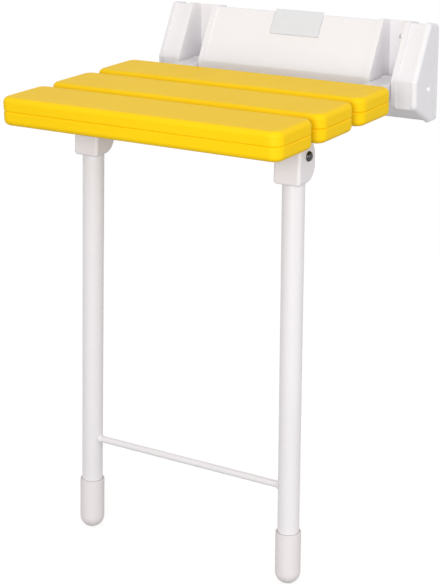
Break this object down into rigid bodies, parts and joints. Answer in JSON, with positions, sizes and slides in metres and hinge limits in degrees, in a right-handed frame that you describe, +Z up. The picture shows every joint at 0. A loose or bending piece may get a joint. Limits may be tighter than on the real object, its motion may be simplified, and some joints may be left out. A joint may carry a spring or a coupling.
{
  "type": "fold down wall seat",
  "caption": "Wall-hung fold-down seat of yellow moulded slats on hinged arms, with drop-down tubular legs, a cross bar and screw-adjusted feet.",
  "frame": {"origin": "centre of the four wall screw holes, on the wall plane, 529 mm above the floor", "axes": "+X along the wall, +Y into the wall, +Z up; the seat stands out along -Y"},
  "size_m": [0.3264, 0.3404, 0.5581],
  "materials": {
    "bracket_plastic": "smooth white moulding",
    "label_plastic": "bare white plate",
    "slat_plastic": "satin yellow moulding",
    "arm_enamel": "white powder coat",
    "leg_enamel": "white powder coat",
    "connector_plastic": "white moulding",
    "foot_plastic": "warm white moulding",
    "nylon": "natural nylon",
    "axle_steel": "drawn rod",
    "lug_steel": "pressed plate",
    "screw_steel": "zinc plated",
    "bolt_chrome": "polished"
  },
  "bodies": {
    "wall_bracket": {"wall_bracket": "bracket_plastic", "label_plate": "label_plastic", "hinge_axle": "axle_steel", "hinge_washers_left": "nylon", "hinge_washers_right": "nylon"},
    "seat": {"rear_slat_top": "slat_plastic", "rear_slat_base": "slat_plastic", "middle_slat_top": "slat_plastic", "middle_slat_base": "slat_plastic", "front_slat_top": "slat_plastic", "front_slat_base": "slat_plastic", "slat_screws": "screw_steel", "arm_screws": "screw_steel", "lug_screws": "screw_steel", "arm_left": "arm_enamel", "arm_hub_left": "arm_enamel", "leg_lug_left": "lug_steel", "pivot_bush_left": "nylon", "arm_right": "arm_enamel", "arm_hub_right": "arm_enamel", "leg_lug_right": "lug_steel", "pivot_bush_right": "nylon"},
    "legs": {"cross_bar": "leg_enamel", "leg_connector_left": "connector_plastic", "leg_tube_left": "leg_enamel", "pivot_bolt_left": "bolt_chrome", "pivot_nut_left": "bolt_chrome", "tube_insert_left": "screw_steel", "leg_connector_right": "connector_plastic", "leg_tube_right": "leg_enamel", "pivot_bolt_right": "bolt_chrome", "pivot_nut_right": "bolt_chrome", "tube_insert_right": "screw_steel"},
    "foot_left": {"foot_sleeve_left": "foot_plastic", "foot_stud_left": "screw_steel"},
    "foot_right": {"foot_sleeve_right": "foot_plastic", "foot_stud_right": "screw_steel"}
  },
  "joints": [
    {"name": "seat_fold", "type": "hinge", "parent": "wall_bracket", "child": "seat", "pos_m": [0, -0.0215, -0.0425], "axis": [-1, 0, 0], "range_deg": [0, 90]},
    {"name": "leg_fold", "type": "hinge", "parent": "seat", "child": "legs", "pos_m": [0, -0.236, -0.0715], "axis": [1, 0, 0], "range_deg": [0, 90]},
    {"name": "foot_left_height", "type": "slide", "parent": "legs", "child": "foot_left", "axis": [-0.0141, -0.0506, -0.9986], "range_m": [0, 0.015]},
    {"name": "foot_right_height", "type": "slide", "parent": "legs", "child": "foot_right", "axis": [0.0141, -0.0506, -0.9986], "range_m": [0, 0.015]}
  ],
  "couplings": [
    {"joint": "leg_fold", "follows": "seat_fold", "ratio": 1}
  ]
}
